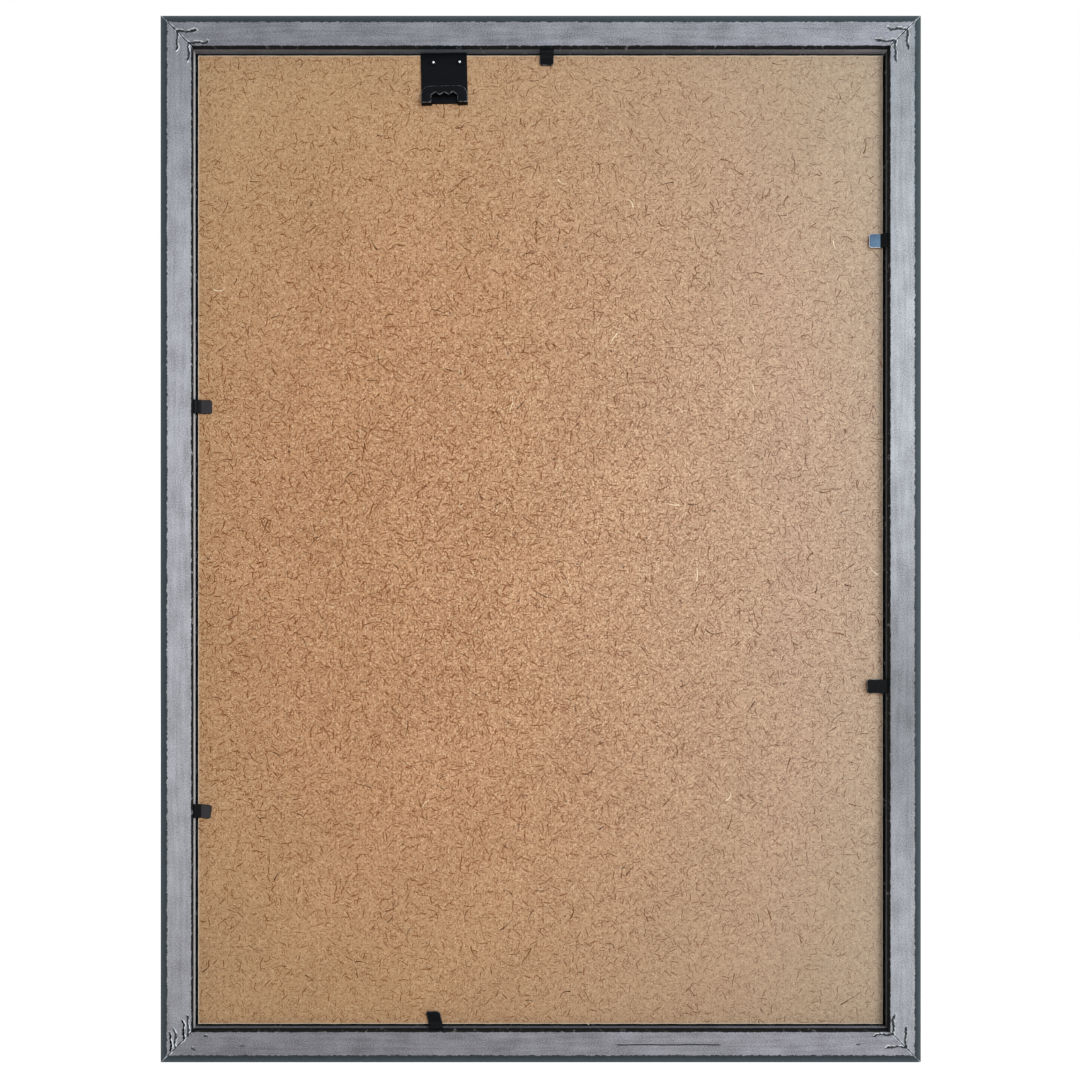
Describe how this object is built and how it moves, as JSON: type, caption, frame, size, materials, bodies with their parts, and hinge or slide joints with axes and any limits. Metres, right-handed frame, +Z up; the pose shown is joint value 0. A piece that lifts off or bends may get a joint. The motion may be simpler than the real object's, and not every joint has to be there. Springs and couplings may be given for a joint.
{
  "type": "picture frame",
  "caption": "Upright picture frame with a mitred moulding, glass, a hardboard back held by bendable steel tabs, and a sawtooth hanger for a wall nail.",
  "frame": {"origin": "top of the middle notch of the hanger's saw edge, at the middle of the sheet, where the wall nail carries the frame", "axes": "+Z up, +Y out of the back towards the wall, +X to the right of someone who looks at the picture"},
  "size_m": [0.3268, 0.014, 0.4498],
  "materials": {
    "moulding": "satin",
    "corner_nail": "satin",
    "glass": "polished",
    "paper": "matte",
    "hardboard": "matte",
    "black_steel": "satin",
    "rivet": "polished"
  },
  "bodies": {
    "frame": {"top_rail": "moulding", "right_rail": "moulding", "bottom_rail": "moulding", "left_rail": "moulding", "corner_nail_top_right_outer": "corner_nail", "corner_nail_top_right_inner": "corner_nail", "corner_nail_bottom_right_outer": "corner_nail", "corner_nail_bottom_right_inner": "corner_nail", "corner_nail_bottom_left_outer": "corner_nail", "corner_nail_bottom_left_inner": "corner_nail", "corner_nail_top_left_outer": "corner_nail", "corner_nail_top_left_inner": "corner_nail", "glass": "glass", "insert_sheet": "paper", "back_board": "hardboard", "hanger": "black_steel", "hanger_rivet_right": "rivet", "hanger_rivet_left": "rivet", "tab_top_shank": "black_steel", "tab_right_upper_shank": "black_steel", "tab_right_lower_shank": "black_steel", "tab_bottom_shank": "black_steel", "tab_left_lower_shank": "black_steel", "tab_left_upper_shank": "black_steel"},
    "tab_top": {"tab_top_flap": "black_steel"},
    "tab_right_upper": {"tab_right_upper_flap": "black_steel"},
    "tab_right_lower": {"tab_right_lower_flap": "black_steel"},
    "tab_bottom": {"tab_bottom_flap": "black_steel"},
    "tab_left_lower": {"tab_left_lower_flap": "black_steel"},
    "tab_left_upper": {"tab_left_upper_flap": "black_steel"}
  },
  "joints": [
    {"name": "tab_top_bend", "type": "hinge", "parent": "frame", "child": "tab_top", "pos_m": [-0.0442, -0.00035, 0.01809], "axis": [1, 0, 0], "range_deg": [0, 90]},
    {"name": "tab_right_upper_bend", "type": "hinge", "parent": "frame", "child": "tab_right_upper", "pos_m": [0.10757, -0.00035, -0.13514], "axis": [0, 0, -1], "range_deg": [0, 90]},
    {"name": "tab_right_lower_bend", "type": "hinge", "parent": "frame", "child": "tab_right_lower", "pos_m": [0.10757, -0.00035, -0.30957], "axis": [0, 0, -1], "range_deg": [0, 90]},
    {"name": "tab_bottom_bend", "type": "hinge", "parent": "frame", "child": "tab_bottom", "pos_m": [0.00332, -0.00035, -0.40311], "axis": [-1, 0, 0], "range_deg": [0, 90]},
    {"name": "tab_left_lower_bend", "type": "hinge", "parent": "frame", "child": "tab_left_lower", "pos_m": [-0.19063, -0.00035, -0.25589], "axis": [0, 0, 1], "range_deg": [0, 90]},
    {"name": "tab_left_upper_bend", "type": "hinge", "parent": "frame", "child": "tab_left_upper", "pos_m": [-0.19063, -0.00035, -0.06353], "axis": [0, 0, 1], "range_deg": [0, 90]}
  ]
}
